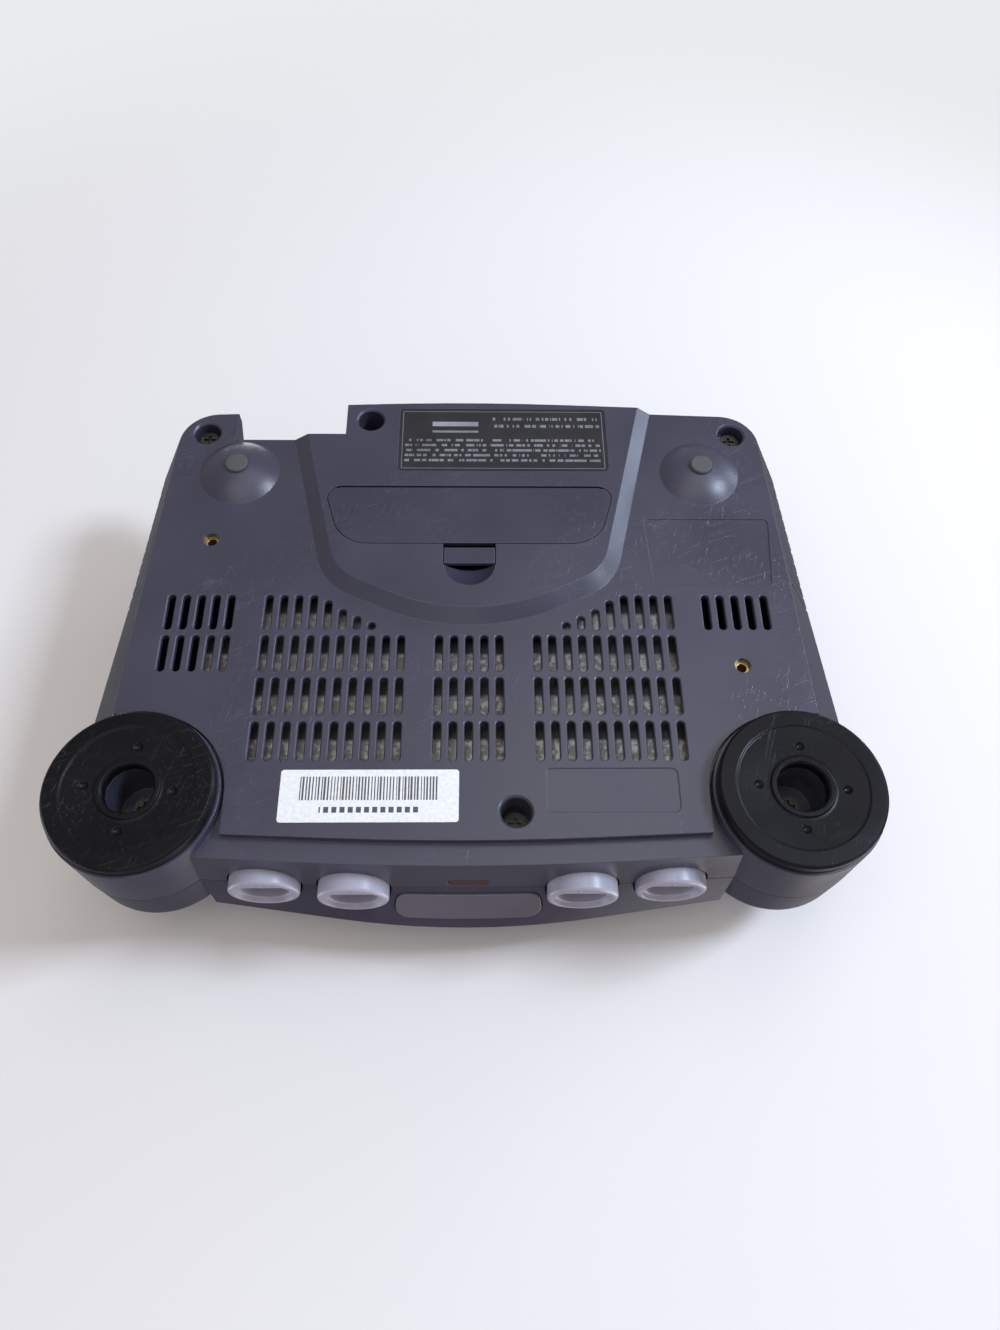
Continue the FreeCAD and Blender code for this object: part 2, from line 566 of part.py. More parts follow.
def controller_socket(index):
    x = PORT_X[index]
    front = port_front(x)
    face = front + PORT_SINK
    ring = along_y(x, PORT_Z, front, PORT_BACK, PORT_R)
    ring = ring.makeFillet(PORT_ROUND, [e for e in ring.Edges if abs(e.BoundBox.YMax - front) < 1e-6])
    ring = ring.cut(Part.makeCone(PORT_FACE_R + 0.5, PORT_FACE_R, PORT_SINK, V(x, front, PORT_Z), V(0, 1, 0)))
    half = box(x - 9, x + 9, -100, -70, PORT_Z - 1.5, 50)
    mouth = along_y(x, PORT_Z + 0.9, front - 1, -80.5, 7.6).common(half)
    key = box(x - 4.2, x + 4.2, face + 1.2, PORT_BACK, PORT_Z - 1.6, PORT_Z + 1.4)
    body = ring.cut(mouth).fuse(key)
    for k in range(3):
        body = body.cut(along_y(x + PIN_PITCH * (k - 1), PIN_Z, face + 0.8, -78, 0.5))
    dots = [Part.makeSphere(0.85, V(x + 2.5 * (k - index / 2), face + 0.15, PORT_Z - 4.9))
            for k in range(index + 1)]
    return fused([body] + dots)


def controller_pins():
    return group(along_y(x + PIN_PITCH * (k - 1), PIN_Z, port_front(x) + PORT_SINK + 2.0, PORT_BACK, 0.45)
                 for x in PORT_X for k in range(3))


# ---- slot flaps ------------------------------------------------------------------------------------
HINGE_INSET = 1.7
FLAP_Y = (CART_Y - CART_W / 2 + HINGE_INSET, CART_Y + CART_W / 2 - HINGE_INSET)
PIN_R = 0.75


def along_x(y, z, x0, x1, r):
    return Part.makeCylinder(r, x1 - x0, V(x0, y, z), V(1, 0, 0))


def slot_flap(side):
    """side -1 is the front flap, 1 the rear one; both close towards the middle."""
    y = FLAP_Y[0] if side < 0 else FLAP_Y[1]
    y0, y1 = sorted((y, CART_Y + side * GAP / 2))
    half = CART_L / 2 - 0.4
    plate = box(-half, half, y0, y1, FLAP_Z, FLAP_Z + FLAP_T)
    knuckle = along_x(y, FLAP_Z, -half, half, FLAP_T)
    flap = plate.fuse(knuckle).cut(along_x(y, FLAP_Z, -70, 70, PIN_R + 0.05))
    for x in (-half, half - 8):
        flap = flap.cut(box(x - 0.1, x + 8.1, y - 1.6, y + 1.6, FLAP_Z - 2, FLAP_Z + 2))
    return flap


def flap_spring(side):
    """Two short coils of wire round the hinge pin, one near each end."""
    y = FLAP_Y[0] if side < 0 else FLAP_Y[1]
    rings = []
    for x in (-CART_L / 2 + 1.6, CART_L / 2 - 6.4):
        rings += [Part.makeTorus(1.2, 0.22, V(x + 0.6 * k, y, FLAP_Z), V(1, 0, 0)) for k in range(9)]
    return group(rings)


def cartridge_guide():
    """Sleeve under the slot that lines up a cartridge and carries the flap pins."""
    wall = 1.6
    sleeve = cart_opening(wall, 42, HEIGHT - WALL).cut(cart_opening(0.0, 40, 80))
    for y in FLAP_Y:
        sleeve = sleeve.cut(along_x(y, FLAP_Z, -70, 70, PIN_R))
    return sleeve


# ---- controls ---------------------------------------------------------------------------------------
def power_slider():
    x = -CONTROL_X
    z = HEIGHT - CONTROL_POCKET + 0.1
    cap = rounded_box(x - 5.5, x + 5.5, -4.5, 4.8, z, z + 1.2, 2)
    ridges = [box(x - 4, x + 4, y, y + 0.8, z + 1.1, HEIGHT) for y in (-2.8, -0.9, 1.0, 2.9)]
    stem = box(x - 2.4, x + 2.4, -2.6, 2.8, 63.0, z + 0.1)
    return fused([cap, stem] + ridges)


def power_switch():
    """Slide switch on the control board; its lever is gripped by the slider's stem."""
    x = -CONTROL_X
    z0 = CONTROL_BOARD_Z + 1.6
    return box(x - 5, x + 5, -11, 6, z0, z0 + 4.0).cut(box(x - 1.6, x + 1.6, -8.4, 3.0, z0 + 1.5, z0 + 5))


def switch_lever():
    x = -CONTROL_X
    return box(x - 1.2, x + 1.2, -1.4, 1.6, CONTROL_BOARD_Z + 3.6, 63.0)


RESET_SWITCH_TOP = CONTROL_BOARD_Z + 5.8


def reset_button():
    z = HEIGHT - WALL - 2.4 - 0.3
    cap = rod(CONTROL_X, CONTROL_Y, z - 1.4, HEIGHT - 0.2, 5.95)
    cap = cap.makeFillet(0.6, [e for e in cap.Edges if abs(e.BoundBox.ZMin - HEIGHT + 0.2) < 1e-6])
    flange = rod(CONTROL_X, CONTROL_Y, z - 1.4, z - 0.2, 7.4)
    stem = rod(CONTROL_X, CONTROL_Y, RESET_SWITCH_TOP + RESET_TRAVEL + 0.3, z - 1.4, 1.6)
    return fused([cap, flange, stem])


def reset_spring():
    z0, z1 = CONTROL_BOARD_Z + 1.6, HEIGHT - WALL - 4.1
    turns = 6
    pitch = (z1 - z0 - 0.7) / turns
    return group(Part.makeTorus(4.6, 0.3, V(CONTROL_X, CONTROL_Y, z0 + 0.35 + pitch * k))
                 for k in range(turns + 1))


def reset_switch():
    x = CONTROL_X
    z0 = CONTROL_BOARD_Z + 1.6
    return box(x - 3, x + 3, -3, 3, z0, z0 + 3.6).fuse(rod(x, 0, z0 + 3.6, RESET_SWITCH_TOP, 1.7))


# ---- electronics and metalwork -------------------------------------------------------------------------
BOARD_TOP = BOARD_Z + BOARD_T
CHIPS = ((-22, -4, 27, 27), (20, -4, 27, 27), (-50, 14, 12, 22), (48, 8, 14, 10), (-50, -20, 12, 12),
         (50, -18, 10, 16))
CANS = ((-66, 30), (-66, 38), (64, 30), (64, -36), (-64, -36), (58, -44))
EXT_Y = (37.0, 45.0)


def main_board():
    board = rounded_box(-79, 79, -58, 50, BOARD_Z, BOARD_TOP, 2)
    for x, y in POSTS:
        board = board.cut(rod(x, y, BOARD_Z - 1, BOARD_TOP + 1, 1.3))
    return board


def bottom_shield():
    plate = rounded_box(-79, 79, -57, 28, 12.0, 12.8, 2)
    for x, y in POSTS:
        plate = plate.cut(rod(x, y, 11, 14, 3.4))
    feet = [box(x - 3, x + 3, y - 2, y + 2, 12.8, BOARD_Z) for x in (-60, 0, 60) for y in (-50, 20)]
    ears = [box(78, 89, -21, -5, 12.0, 12.8), box(-98, -78, -4.6, -1.2, 12.0, 12.8)]
    return fused([plate] + feet + ears)


def top_shield():
    plate = rounded_box(-79, 79, -27, 50, 27.0, 27.8, 2).cut(box(-40, 40, CART_Y - 8, CART_Y + 8, 20, 30))
    feet = [box(x - 3, x + 3, y - 1, y + 1, BOARD_TOP, 27.0) for x in (-66, 66) for y in (-22, 46)]
    return fused([plate] + feet)


def heat_spreader():
    plate = rounded_box(-38, 36, -20, 12, 21.4, 26.9, 1.5)
    for k in range(7):
        plate = plate.cut(box(-34 + 10 * k, -30 + 10 * k, -21, 13, 24.0, 27))
    return plate


def edge_connector(half_x, y, z0, z1, slot_half_x, slot_depth):
    body = box(-half_x, half_x, y - 4.5, y + 4.5, z0, z1)
    return body.cut(box(-slot_half_x, slot_half_x, y - 1.0, y + 1.0, z1 - slot_depth, z1 + 1))


def memory_module():
    case = rounded_box(-23.4, 23.4, -59.4, -32.6, 27.0, 52.0, 2)
    grip = rounded_box(-14, 14, -50, -42, 52.0, 54.0, 2)
    blade = box(-19.6, 19.6, -46.8, -45.2, 20.6, 27.0)
    return fused([case, grip, blade])


def memory_guide():
    frame = rounded_box(-25.4, 25.4, -61.4, -30.6, BOARD_TOP, 46, 2)
    return frame.cut(rounded_box(-23.8, 23.8, -59.8, -32.2, BOARD_TOP - 1, 47, 2))


def memory_hatch():
    form = upper_form()
    lid = hatch_slab(GAP, 30, 80).common(form.cut(upper_form(WALL)))
    band = upper_form(WALL - 0.1).cut(upper_form(WALL + 3.5))
    skirt = hatch_slab(2.4, 30, 80).cut(hatch_slab(3.8, 30, 80)).common(band)
    grip = Part.makeCylinder(5.0, 9, V(-4.5, HATCH[2] + 1.0, 62.6), V(1, 0, 0))
    return lid.fuse(skirt).cut(grip)


def controller_board():
    return box(-78, 78, -79.0, -77.4, 14.0, 42.0)


def av_connector():
    x0, x1 = AV_X - AV_W / 2 + 0.3, AV_X + AV_W / 2 - 0.3
    z0, z1 = AV_Z - AV_H / 2 + 0.3, AV_Z + AV_H / 2 - 0.3
    shell = box(x0, x1, 78, 94.0, z0, z1).cut(box(x0 + 1.2, x1 - 1.2, 82, 95, z0 + 1.2, z1 - 1.2))
    tongue = box(x0 + 3, x1 - 3, 82, 92, z0 + 1.1, z0 + 2.6)
    return shell.fuse(tongue)


def power_inlet():
    shell = box(54.3, 79.7, 40, BAY[2] - 0.3, 31.3, 40.7).cut(box(56, 78, 45, 60, 33, 39))
    blades = [box(x - 0.5, x + 0.5, 45, 52, 34, 38) for x in (59, 62, 65, 69, 72, 75)]
    return fused([shell] + blades)


def control_board():
    board = box(-56, 56, -12, 8, CONTROL_BOARD_Z, CONTROL_BOARD_Z + 1.6)
    for x in CONTROL_SCREW_X:
        board = board.cut(rod(x, 0, CONTROL_BOARD_Z - 1, CONTROL_BOARD_Z + 3, 1.2))
    return board


def io_board():
    """Upright card behind the rear sockets, standing on the main board."""
    return box(-40, 40, 46.2, 47.8, BOARD_TOP, 26.0)


# ---- build ---------------------------------------------------------------------------------------------
os.makedirs("parts", exist_ok=True)
leg_screws = [(side * FOOT_X, FOOT_Y, LEG_WELL_TOP) for side in (-1, 1)]
nodes = {
    "bottom_case": lower_case(),
    "top_case": upper_case(),
    "front_foot_left": foot_disc(-1),
    "front_foot_right": foot_disc(1),
    "rear_foot_pad_left": foot_pad(-1),
    "rear_foot_pad_right": foot_pad(1),
    "expansion_cover": expansion_cover(),
    "memory_hatch": memory_hatch(),
    "memory_module": memory_module(),
    "memory_guide": memory_guide(),
    "memory_connector": edge_connector(24 - 0.8, -46.0, BOARD_TOP, 26.6, 19.9, 6.4),
    "cartridge_guide": cartridge_guide(),
    "cartridge_connector": edge_connector(38, CART_Y, BOARD_TOP, 41.0, 34, 12),
    "expansion_connector": box(-30, 30, *EXT_Y, 9.0, BOARD_Z).cut(box(-27, 27, 40.0, 42.0, 8, 15)),
    "slot_flap_front": slot_flap(-1),
    "slot_flap_rear": slot_flap(1),
    "flap_hinge_pins": group(along_x(y, FLAP_Z, -CART_L / 2 - 1.6, CART_L / 2 + 1.6, PIN_R) for y in FLAP_Y),
    "flap_spring_front": flap_spring(-1),
    "flap_spring_rear": flap_spring(1),
    "power_slider": power_slider(),
    "switch_lever": switch_lever(),
    "power_switch": power_switch(),
    "reset_button": reset_button(),
    "reset_spring": reset_spring(),
    "reset_switch": reset_switch(),
    "control_board": control_board(),
    "control_board_screws": group(screw(x, 0, CONTROL_BOARD_Z, 2.2, 1.0, 6) for x in CONTROL_SCREW_X),
    "controller_pins": controller_pins(),
    "controller_board": controller_board(),
    "badge_plate": badge(),
    "lamp_window": lamp_window(),
    "power_lamp": along_y(0, 23.4, -82.8, -79.0, 1.5),
    "main_board": main_board(),
    "chips": group(box(x - w / 2, x + w / 2, y - d / 2, y + d / 2, BOARD_TOP, BOARD_TOP + 2.2)
                   for x, y, w, d in CHIPS),
    "capacitors": group(rod(x, y, BOARD_TOP, BOARD_TOP + 7.5, 3.0) for x, y in CANS),
    "board_screws": group(rod(x, y, BOARD_TOP, BOARD_TOP + 1.8, 2.6).fuse(rod(x, y, 10, BOARD_TOP, 1.2))
                          for x, y in POSTS),
    "heat_spreader": heat_spreader(),
    "bottom_shield": bottom_shield(),
    "top_shield": top_shield(),
    "av_connector": av_connector(),
    "power_inlet": power_inlet(),
    "rear_socket_board": io_board(),
    "rating_label": rounded_box(*RATING, HUMP_Z + 0.15, HUMP_Z + 0.4, 1.2),
    "serial_label": rounded_box(*SERIAL, PLATE_Z - 0.15, PLATE_Z, 1.0),
    "insert_left": insert(*INSERTS[1]),
    "insert_right": insert(*INSERTS[0]),
    "case_screws": group(screw(x, y, floor, 3.6, 1.9, 5.0 if floor < 15 else 12.0)
                         for x, y, floor in WELLS + leg_screws),
}
for i in range(4):
    nodes["controller_socket_%d" % (i + 1)] = controller_socket(i)
for node, shape in nodes.items():
    if not shape.isValid():
        print("not valid:", node)
    save(node, shape)
    b = shape.BoundBox
    print("%-22s solids %3d  volume %10.1f  x %.1f..%.1f y %.1f..%.1f z %.1f..%.1f" % (
        node, len(shape.Solids), shape.Volume, b.XMin, b.XMax, b.YMin, b.YMax, b.ZMin, b.ZMax))
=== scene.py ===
from math import cos, floor, radians, sin

import bpy
from mathutils import Matrix, Vector


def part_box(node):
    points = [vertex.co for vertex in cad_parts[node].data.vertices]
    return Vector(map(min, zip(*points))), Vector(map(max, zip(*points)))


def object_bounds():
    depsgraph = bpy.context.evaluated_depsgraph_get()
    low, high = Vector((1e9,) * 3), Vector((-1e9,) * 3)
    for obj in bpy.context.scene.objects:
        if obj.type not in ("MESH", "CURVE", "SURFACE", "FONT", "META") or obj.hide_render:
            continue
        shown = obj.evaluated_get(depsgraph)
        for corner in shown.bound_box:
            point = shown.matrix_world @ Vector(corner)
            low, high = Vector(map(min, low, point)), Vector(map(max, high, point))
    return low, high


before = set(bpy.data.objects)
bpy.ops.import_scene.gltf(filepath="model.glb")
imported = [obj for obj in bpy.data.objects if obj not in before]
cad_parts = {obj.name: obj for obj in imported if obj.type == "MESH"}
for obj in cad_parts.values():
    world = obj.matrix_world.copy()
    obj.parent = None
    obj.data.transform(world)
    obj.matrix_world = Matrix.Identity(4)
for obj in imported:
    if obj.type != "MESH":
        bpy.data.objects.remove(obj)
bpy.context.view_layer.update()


# ---- Viewpoint -------------------------------------------------------------------------------
# The console is looked at from in front of and below its front edge, the way it is seen when it
# lies on its back, so the eye is held half a turn round with the feet of the console on top.
EYE = Vector((-0.00395, -0.17746, -0.28587))
TURN, CLIMB, LEAN = radians(2.291), radians(61.28), radians(2.009)

ahead = Vector((-sin(TURN) * cos(CLIMB), cos(TURN) * cos(CLIMB), sin(CLIMB)))
level = Vector((-cos(TURN), -sin(TURN), 0))
rise = level.cross(ahead)
right = cos(LEAN) * level + sin(LEAN) * rise
above = cos(LEAN) * rise - sin(LEAN) * level

eye = bpy.data.objects.new("eye", bpy.data.cameras.new("eye"))
eye.data.sensor_width = 36
eye.data.lens = 27.14
eye.data.clip_start = 0.01
eye.matrix_world = Matrix.Translation(EYE) @ Matrix((right, above, -ahead)).transposed().to_4x4()
bpy.context.scene.collection.objects.link(eye)
bpy.context.scene.camera = eye


# ---- Table, floor and room light ---------------------------------------------------------------
# A white table carries the upturned console on its top; a pale floor carries it the right way up.
# Each sheet shows one face only, and fades out where it would end.
class Term:
    """A number, colour, direction or shader inside a finish. Arithmetic on it adds Math nodes."""

    def __init__(self, finish, socket):
        self.finish, self.socket = finish, socket

    def maths(self, operation, *terms):
        settings = {"operation": operation}
        return self.finish.add("ShaderNodeMath", settings, dict(enumerate(terms)))

    def __add__(self, other):
        return self.maths("ADD", self, other)

    def __sub__(self, other):
        return self.maths("SUBTRACT", self, other)

    def __rsub__(self, other):
        return self.maths("SUBTRACT", other, self)

    def __mul__(self, other):
        return self.maths("MULTIPLY", self, other)

    def __truediv__(self, other):
        return self.maths("DIVIDE", self, other)

    def __mod__(self, other):
        return self.maths("FLOORED_MODULO", self, other)

    def __pow__(self, other):
        return self.maths("POWER", self, other)

    def __lt__(self, other):
        return self.maths("LESS_THAN", self, other)

    def __gt__(self, other):
        return self.maths("GREATER_THAN", self, other)

    def __abs__(self):
        return self.maths("ABSOLUTE", self)

    def __floor__(self):
        return self.maths("FLOOR", self)

    __radd__, __rmul__ = __add__, __mul__

    def most(self, other):
        return self.maths("MAXIMUM", self, other)

    def ramp(self, start, end, low=0.0, high=1.0):
        """Eases from low to high as the term goes from start to end."""
        values = {"Value": self, "From Min": start, "From Max": end, "To Min": low, "To Max": high}
        return self.finish.add("ShaderNodeMapRange", {"interpolation_type": "SMOOTHSTEP"}, values)


class Finish:
    """The nodes of one material, whose place is measured in metres on the piece itself. The air of
    the room is made the same way, and its place is a direction."""

    def __init__(self, name, family=bpy.data.materials, measure="Object"):
        self.block = family.new(name)
        self.block.use_nodes = True
        self.tree = self.block.node_tree
        self.tree.nodes.clear()
        self.place = self.add("ShaderNodeTexCoord", out=measure)

    def add(self, kind, settings=None, values=None, out=0):
        """Adds a node: its settings first, then the values or links of its sockets."""
        node = self.tree.nodes.new(kind)
        for name, setting in (settings or {}).items():
            setattr(node, name, setting)
        for name, value in (values or {}).items():
            if isinstance(value, Term):
                self.tree.links.new(value.socket, node.inputs[name])
            else:
                node.inputs[name].default_value = value
        return Term(self, node.outputs[out]) if node.outputs else None

    def mix(self, factor, a, b):
        """Colour between a and b."""
        a, b = ((*c, 1) if isinstance(c, tuple) else c for c in (a, b))
        return self.add("ShaderNodeMix", {"data_type": "RGBA"}, {0: factor, 6: a, 7: b}, out=2)

    def axes(self):
        """The three parts of the place."""
        apart = self.add("ShaderNodeSeparateXYZ", None, {0: self.place})
        return [Term(self, apart.socket.node.outputs[n]) for n in range(3)]

    def show(self, shader, end="ShaderNodeOutputMaterial"):
        """Closes the nodes with the shader that is seen."""
        self.add(end, None, {"Surface": shader})


def scaled(shade, share):
    """A colour made darker, or paler where the share is above 1."""
    return tuple(c * share for c in shade)


def sheet(name, height, centre, reach, shade, faces_up, hole, gleam):
    """A one-sided sheet at a height, seen by the camera only, with a glow of its own (gleam). It is
    open where the console hides it, and fades out."""
    fade_start, fade_end = 0.5, 0.98
    corners = []
    for half_x, half_y in ((reach, reach), hole):
        for x, y in ((-1, -1), (1, -1), (1, 1), (-1, 1)):
            corners.append((centre[0] + x * half_x, centre[1] + y * half_y, height))
    sides = [(n, (n + 1) % 4, (n + 1) % 4 + 4, n + 4) for n in range(4)]
    mesh = bpy.data.meshes.new(name)
    mesh.from_pydata(corners, [], sides if faces_up else [side[::-1] for side in sides])
    piece = bpy.data.objects.new(name, mesh)
    bpy.context.scene.collection.objects.link(piece)

    look = Finish(name)
    x, y, _ = look.axes()
    away = ((x - centre[0]) ** 2 + (y - centre[1]) ** 2) ** 0.5 / reach
    mottle = look.add("ShaderNodeTexNoise", None, {"Vector": look.place, "Scale": 3, "Detail": 2})
    colour = look.mix(mottle, scaled(shade, 0.97), shade)
    paint = look.add("ShaderNodeBsdfDiffuse", None, {"Color": colour})
    shine = look.add("ShaderNodeEmission", None, {"Color": colour, "Strength": gleam})
    paint = look.add("ShaderNodeAddShader", None, {0: paint, 1: shine})
    gone = look.add("ShaderNodeBsdfTransparent")
    behind = look.add("ShaderNodeNewGeometry", out="Backfacing")
    hidden = behind.most(away.ramp(fade_start, fade_end))
    look.show(look.add("ShaderNodeMixShader", None, {0: hidden, 1: paint, 2: gone}))
    mesh.materials.append(look.block)
    piece.visible_shadow = False
    piece.visible_diffuse = False
    piece.visible_glossy = False
    piece.visible_transmission = False


low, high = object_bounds()
sheet("table", height=high.z + 0.0003, centre=(0, 0.02), reach=0.52, shade=(0.77, 0.745, 0.725),
      faces_up=False, hole=(0.115, 0.078), gleam=0.0)
sheet("floor", height=low.z - 0.0002, centre=(0, 0), reach=2.2, shade=(0.80, 0.80, 0.81),
      faces_up=True, hole=(0.01, 0.01), gleam=0.22)

# The first five lamps light the underside and the front, the last three the upper side.
MIDDLE = Vector((0, 0, 0.03))


def lamp(name, at, size, watts, tint):
    """A soft square light that faces the middle of the console."""
    light = bpy.data.lights.new(name, "AREA")
    light.size, light.energy, light.color = size, watts, tint
    holder = bpy.data.objects.new(name, light)
    holder.location = at
    aim = MIDDLE - Vector(at)
    holder.rotation_euler = aim.to_track_quat("-Z", "Y").to_euler()
    bpy.context.scene.collection.objects.link(holder)


lamp("window", (-0.93, 0.09, -0.98), 0.30, 16.0, (0.70, 0.81, 1.0))
lamp("low_window", (-1.30, 0.72, -0.40), 0.50, 5.0, (0.66, 0.78, 1.0))
lamp("ceiling", (0.15, -0.24, -1.25), 0.9, 3.6, (1.0, 0.97, 0.94))
lamp("sheen", (-0.20, 0.38, -1.10), 0.45, 1.3, (0.97, 0.96, 1.0))
lamp("front_glow", (0.10, -0.95, 0.02), 0.5, 1.2, (0.88, 0.50, 0.92))
lamp("upper_key", (-1.0, -0.80, 0.80), 1.2, 14.0, (1.0, 0.98, 0.95))
lamp("upper_fill", (1.25, -0.40, 0.60), 1.1, 10.0, (0.9, 0.94, 1.0))
lamp("upper_rear", (0.3, 1.45, 0.60), 1.0, 11.0, (0.95, 0.97, 1.0))

# The air glows more from below, which is overhead for the upturned console. Behind everything the
# camera sees a plain pale wall.
FROM_BELOW, FROM_ABOVE, HORIZON = 0.47, 0.22, 0.25
room = Finish("room", bpy.data.worlds, "Generated")
_, _, upward = room.axes()
values = {"Value": upward, "From Min": -HORIZON, "From Max": HORIZON, "To Min": FROM_BELOW,
          "To Max": FROM_ABOVE}
strength = room.add("ShaderNodeMapRange", None, values)
glow = room.add("ShaderNodeBackground", None, {"Color": (0.95, 0.92, 0.91, 1), "Strength": strength})
wall = room.add("ShaderNodeBackground", None, {"Color": (0.82, 0.83, 0.85, 1)})
seen = room.add("ShaderNodeLightPath", out="Is Camera Ray")
air = room.add("ShaderNodeMixShader", None, {0: seen, 1: glow, 2: wall})
room.show(air, "ShaderNodeOutputWorld")
bpy.context.scene.world = room.block
bpy.context.scene.view_settings.view_transform = "Standard"


# ---- Lower case --------------------------------------------------------------------------------
# The lower shell is one moulding in charcoal plastic with a spark-eroded matt skin. Years of being
# set down have left fine pale scratches and dust. Its edges are painted paler, partly where they
# are rubbed and partly as a painted highlight.
def cloud(look, size, detail=3.0, place=None):
    """Soft lumps about size metres across, from 0 to 1."""
    values = {"Vector": place or look.place, "Scale": 1 / size, "Detail": detail}
    return look.add("ShaderNodeTexNoise", None, values)


def stretched(look, turn, scales, shift=0.0):
    """The place on the piece, turned, then stretched by three scales."""
    values = {"Vector": look.place, "Location": (shift, shift * 0.7, shift * 0.3), "Rotation": turn}
    turned = look.add("ShaderNodeMapping", None, values)
    values = {0: turned, 1: scales}
    return look.add("ShaderNodeVectorMath", {"operation": "MULTIPLY"}, values)


def scratches(look, length, width, share, turns):
    """Thin pale lines in several directions, gathered in patches, 0 or 1 nearly everywhere."""
    lines = None
    for n, turn in enumerate(turns):
        place = stretched(look, turn, (1 / length, 1 / width, 1 / width), shift=0.37 * n + 0.11)
        line = cloud(look, 1.0, 0.0, place).ramp(share, share + 0.05)
        lines = line if lines is None else lines.most(line)
    patches = cloud(look, 0.05, 1.0).ramp(0.42, 0.62)
    return lines * patches


def dust(look, pitch, size):
    """Small specks, about one in each pitch metres."""
    values = {"Vector": look.place, "Scale": 1 / pitch, "Randomness": 1.0}
    near = look.add("ShaderNodeTexVoronoi", {"feature": "F1"}, values)
    return near.ramp(size / pitch, 0.3 * size / pitch)


def rounded(look, radius):
    """The way the surface faces with its edges eased."""
    return look.add("ShaderNodeBevel", {"samples": 4}, {"Radius": radius})


def edges(look, eased):
    """1 where an edge has been eased, 0 elsewhere."""
    flat = look.add("ShaderNodeNewGeometry", out="Normal")
    alike = look.add("ShaderNodeVectorMath", {"operation": "DOT_PRODUCT"}, {0: eased, 1: flat}, 1)
    return (1 - alike).ramp(0.004, 0.12)


def moulded(name, shade, rough, grain=0.00045, edge=0.00045, edge_wear_and_highlight=0.6, grime=0.15, marks=0.6,
            shine=0.45):
    """Moulded plastic: grained skin, scratches, dust, and edges painted paler, partly rubbed and
    partly a painted highlight.
    """
    look = Finish(name)
    eased = rounded(look, edge)
    turns = [(0.1, 0.0, 0.35), (0.0, 0.2, 1.25), (0.3, 0.1, 2.3)]
    lines = scratches(look, length=0.022, width=0.00035, share=0.74, turns=turns)
    specks = dust(look, pitch=0.007, size=0.00035)
    smear = cloud(look, 0.035, 4.0)
    pale = tuple(min(1, c * 2.1 + 0.05) for c in shade)
    colour = look.mix(smear.ramp(0.3, 0.7), scaled(shade, 1 - grime), shade)
    colour = look.mix(lines * (marks * 0.5), colour, pale)
    colour = look.mix(specks * (marks * 0.55), colour, pale)
    # Edges painted paler: partly rubbed by use, partly a painted highlight.
    colour = look.mix(edges(look, eased) * (edge_wear_and_highlight * 0.45), colour, pale)
    skin = cloud(look, grain, 2.0)
    gloss = smear.ramp(0.35, 0.75, rough - 0.06, rough + 0.07) - lines * 0.08 + specks * 0.2
    values = {"Height": skin - lines * 0.8, "Distance": grain * 0.10, "Strength": 0.6, "Normal": eased}
    bump = look.add("ShaderNodeBump", None, values)
    values = {"Base Color": colour, "Roughness": gloss, "Normal": bump, "Specular IOR Level": shine}
    look.show(look.add("ShaderNodeBsdfPrincipled", None, values))
    return look.block


def dress(material, *names):
    """Gives CAD pieces their finish."""
    for name in names:
        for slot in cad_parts[name].material_slots:
            slot.material = material


CHARCOAL = (0.0385, 0.0378, 0.062)
dress(moulded("lower_case_plastic", CHARCOAL, 0.34, shine=0.55), "bottom_case")


# ---- Shields -----------------------------------------------------------------------------------
# A pressed sheet of tinned steel lies just inside the air slots. Its dull tin has gone blotchy, and
# dust has settled on it. Along each row of slots a dark band of painted shade stands for the deep
# shade there. The top shield is the same sheet, cleaner and without the painted shade.
def metal(name, shade, rough, blotch=0.02, fleck=0.0012, dirt=0.3, brushed=None, metallic=1.0,
          painted_shade_bands=None):
    """Bare or plated metal: blotches, flecks, brush lines if asked, and a dark band of painted shade
    repeating along Y if asked.
    """
    look = Finish(name)
    eased = rounded(look, 0.0002)
    spots = cloud(look, fleck, 3.0).ramp(0.46, 0.62)
    stains = cloud(look, blotch, 3.0).ramp(0.35, 0.7)
    dark = scaled(shade, 1 - dirt)
    colour = look.mix(spots, dark, shade)
    colour = look.mix(stains * 0.5, colour, scaled(shade, 0.8))
    height = spots
    if painted_shade_bands:
        first, pitch, unshaded = painted_shade_bands
        band = (look.axes()[1] - first) / pitch % 1
        # Painted shade: the dark band in each row pitch stands for the deep shade behind the slots.
        colour = look.mix(band.ramp(unshaded - 0.08, unshaded + 0.04), colour, scaled(shade, 0.05))
    if brushed:
        lines = cloud(look, 1.0, 2.0, stretched(look, (0, 0, 0), brushed))
        height = lines
        colour = look.mix(lines * 0.3, colour, dark)
    gloss = spots.ramp(0, 1, rough + 0.12, rough) + stains * 0.08
    values = {"Height": height, "Distance": 0.00004, "Strength": 0.5, "Normal": eased}
    bump = look.add("ShaderNodeBump", None, values)
    values = {"Base Color": colour, "Roughness": gloss, "Normal": bump, "Metallic": metallic}
    look.show(look.add("ShaderNodeBsdfPrincipled", None, values))
    return look.block


TIN = (0.50, 0.48, 0.45)
# Slot rows of the shield; the unshaded share of each row pitch is left without the painted shade.
FIRST_ROW, ROW_PITCH, UNSHADED_SHARE = -0.05197, 0.01604, 0.62
dusty_tin_painted_shade = metal("dusty_tin_painted_shade", TIN, 0.45, fleck=0.0016, dirt=0.62, metallic=0.35,
                  painted_shade_bands=(FIRST_ROW, ROW_PITCH, UNSHADED_SHARE))
dress(dusty_tin_painted_shade, "bottom_shield")
dress(metal("clean_tin", TIN, 0.42, fleck=0.0016, dirt=0.35, metallic=0.8), "top_shield")


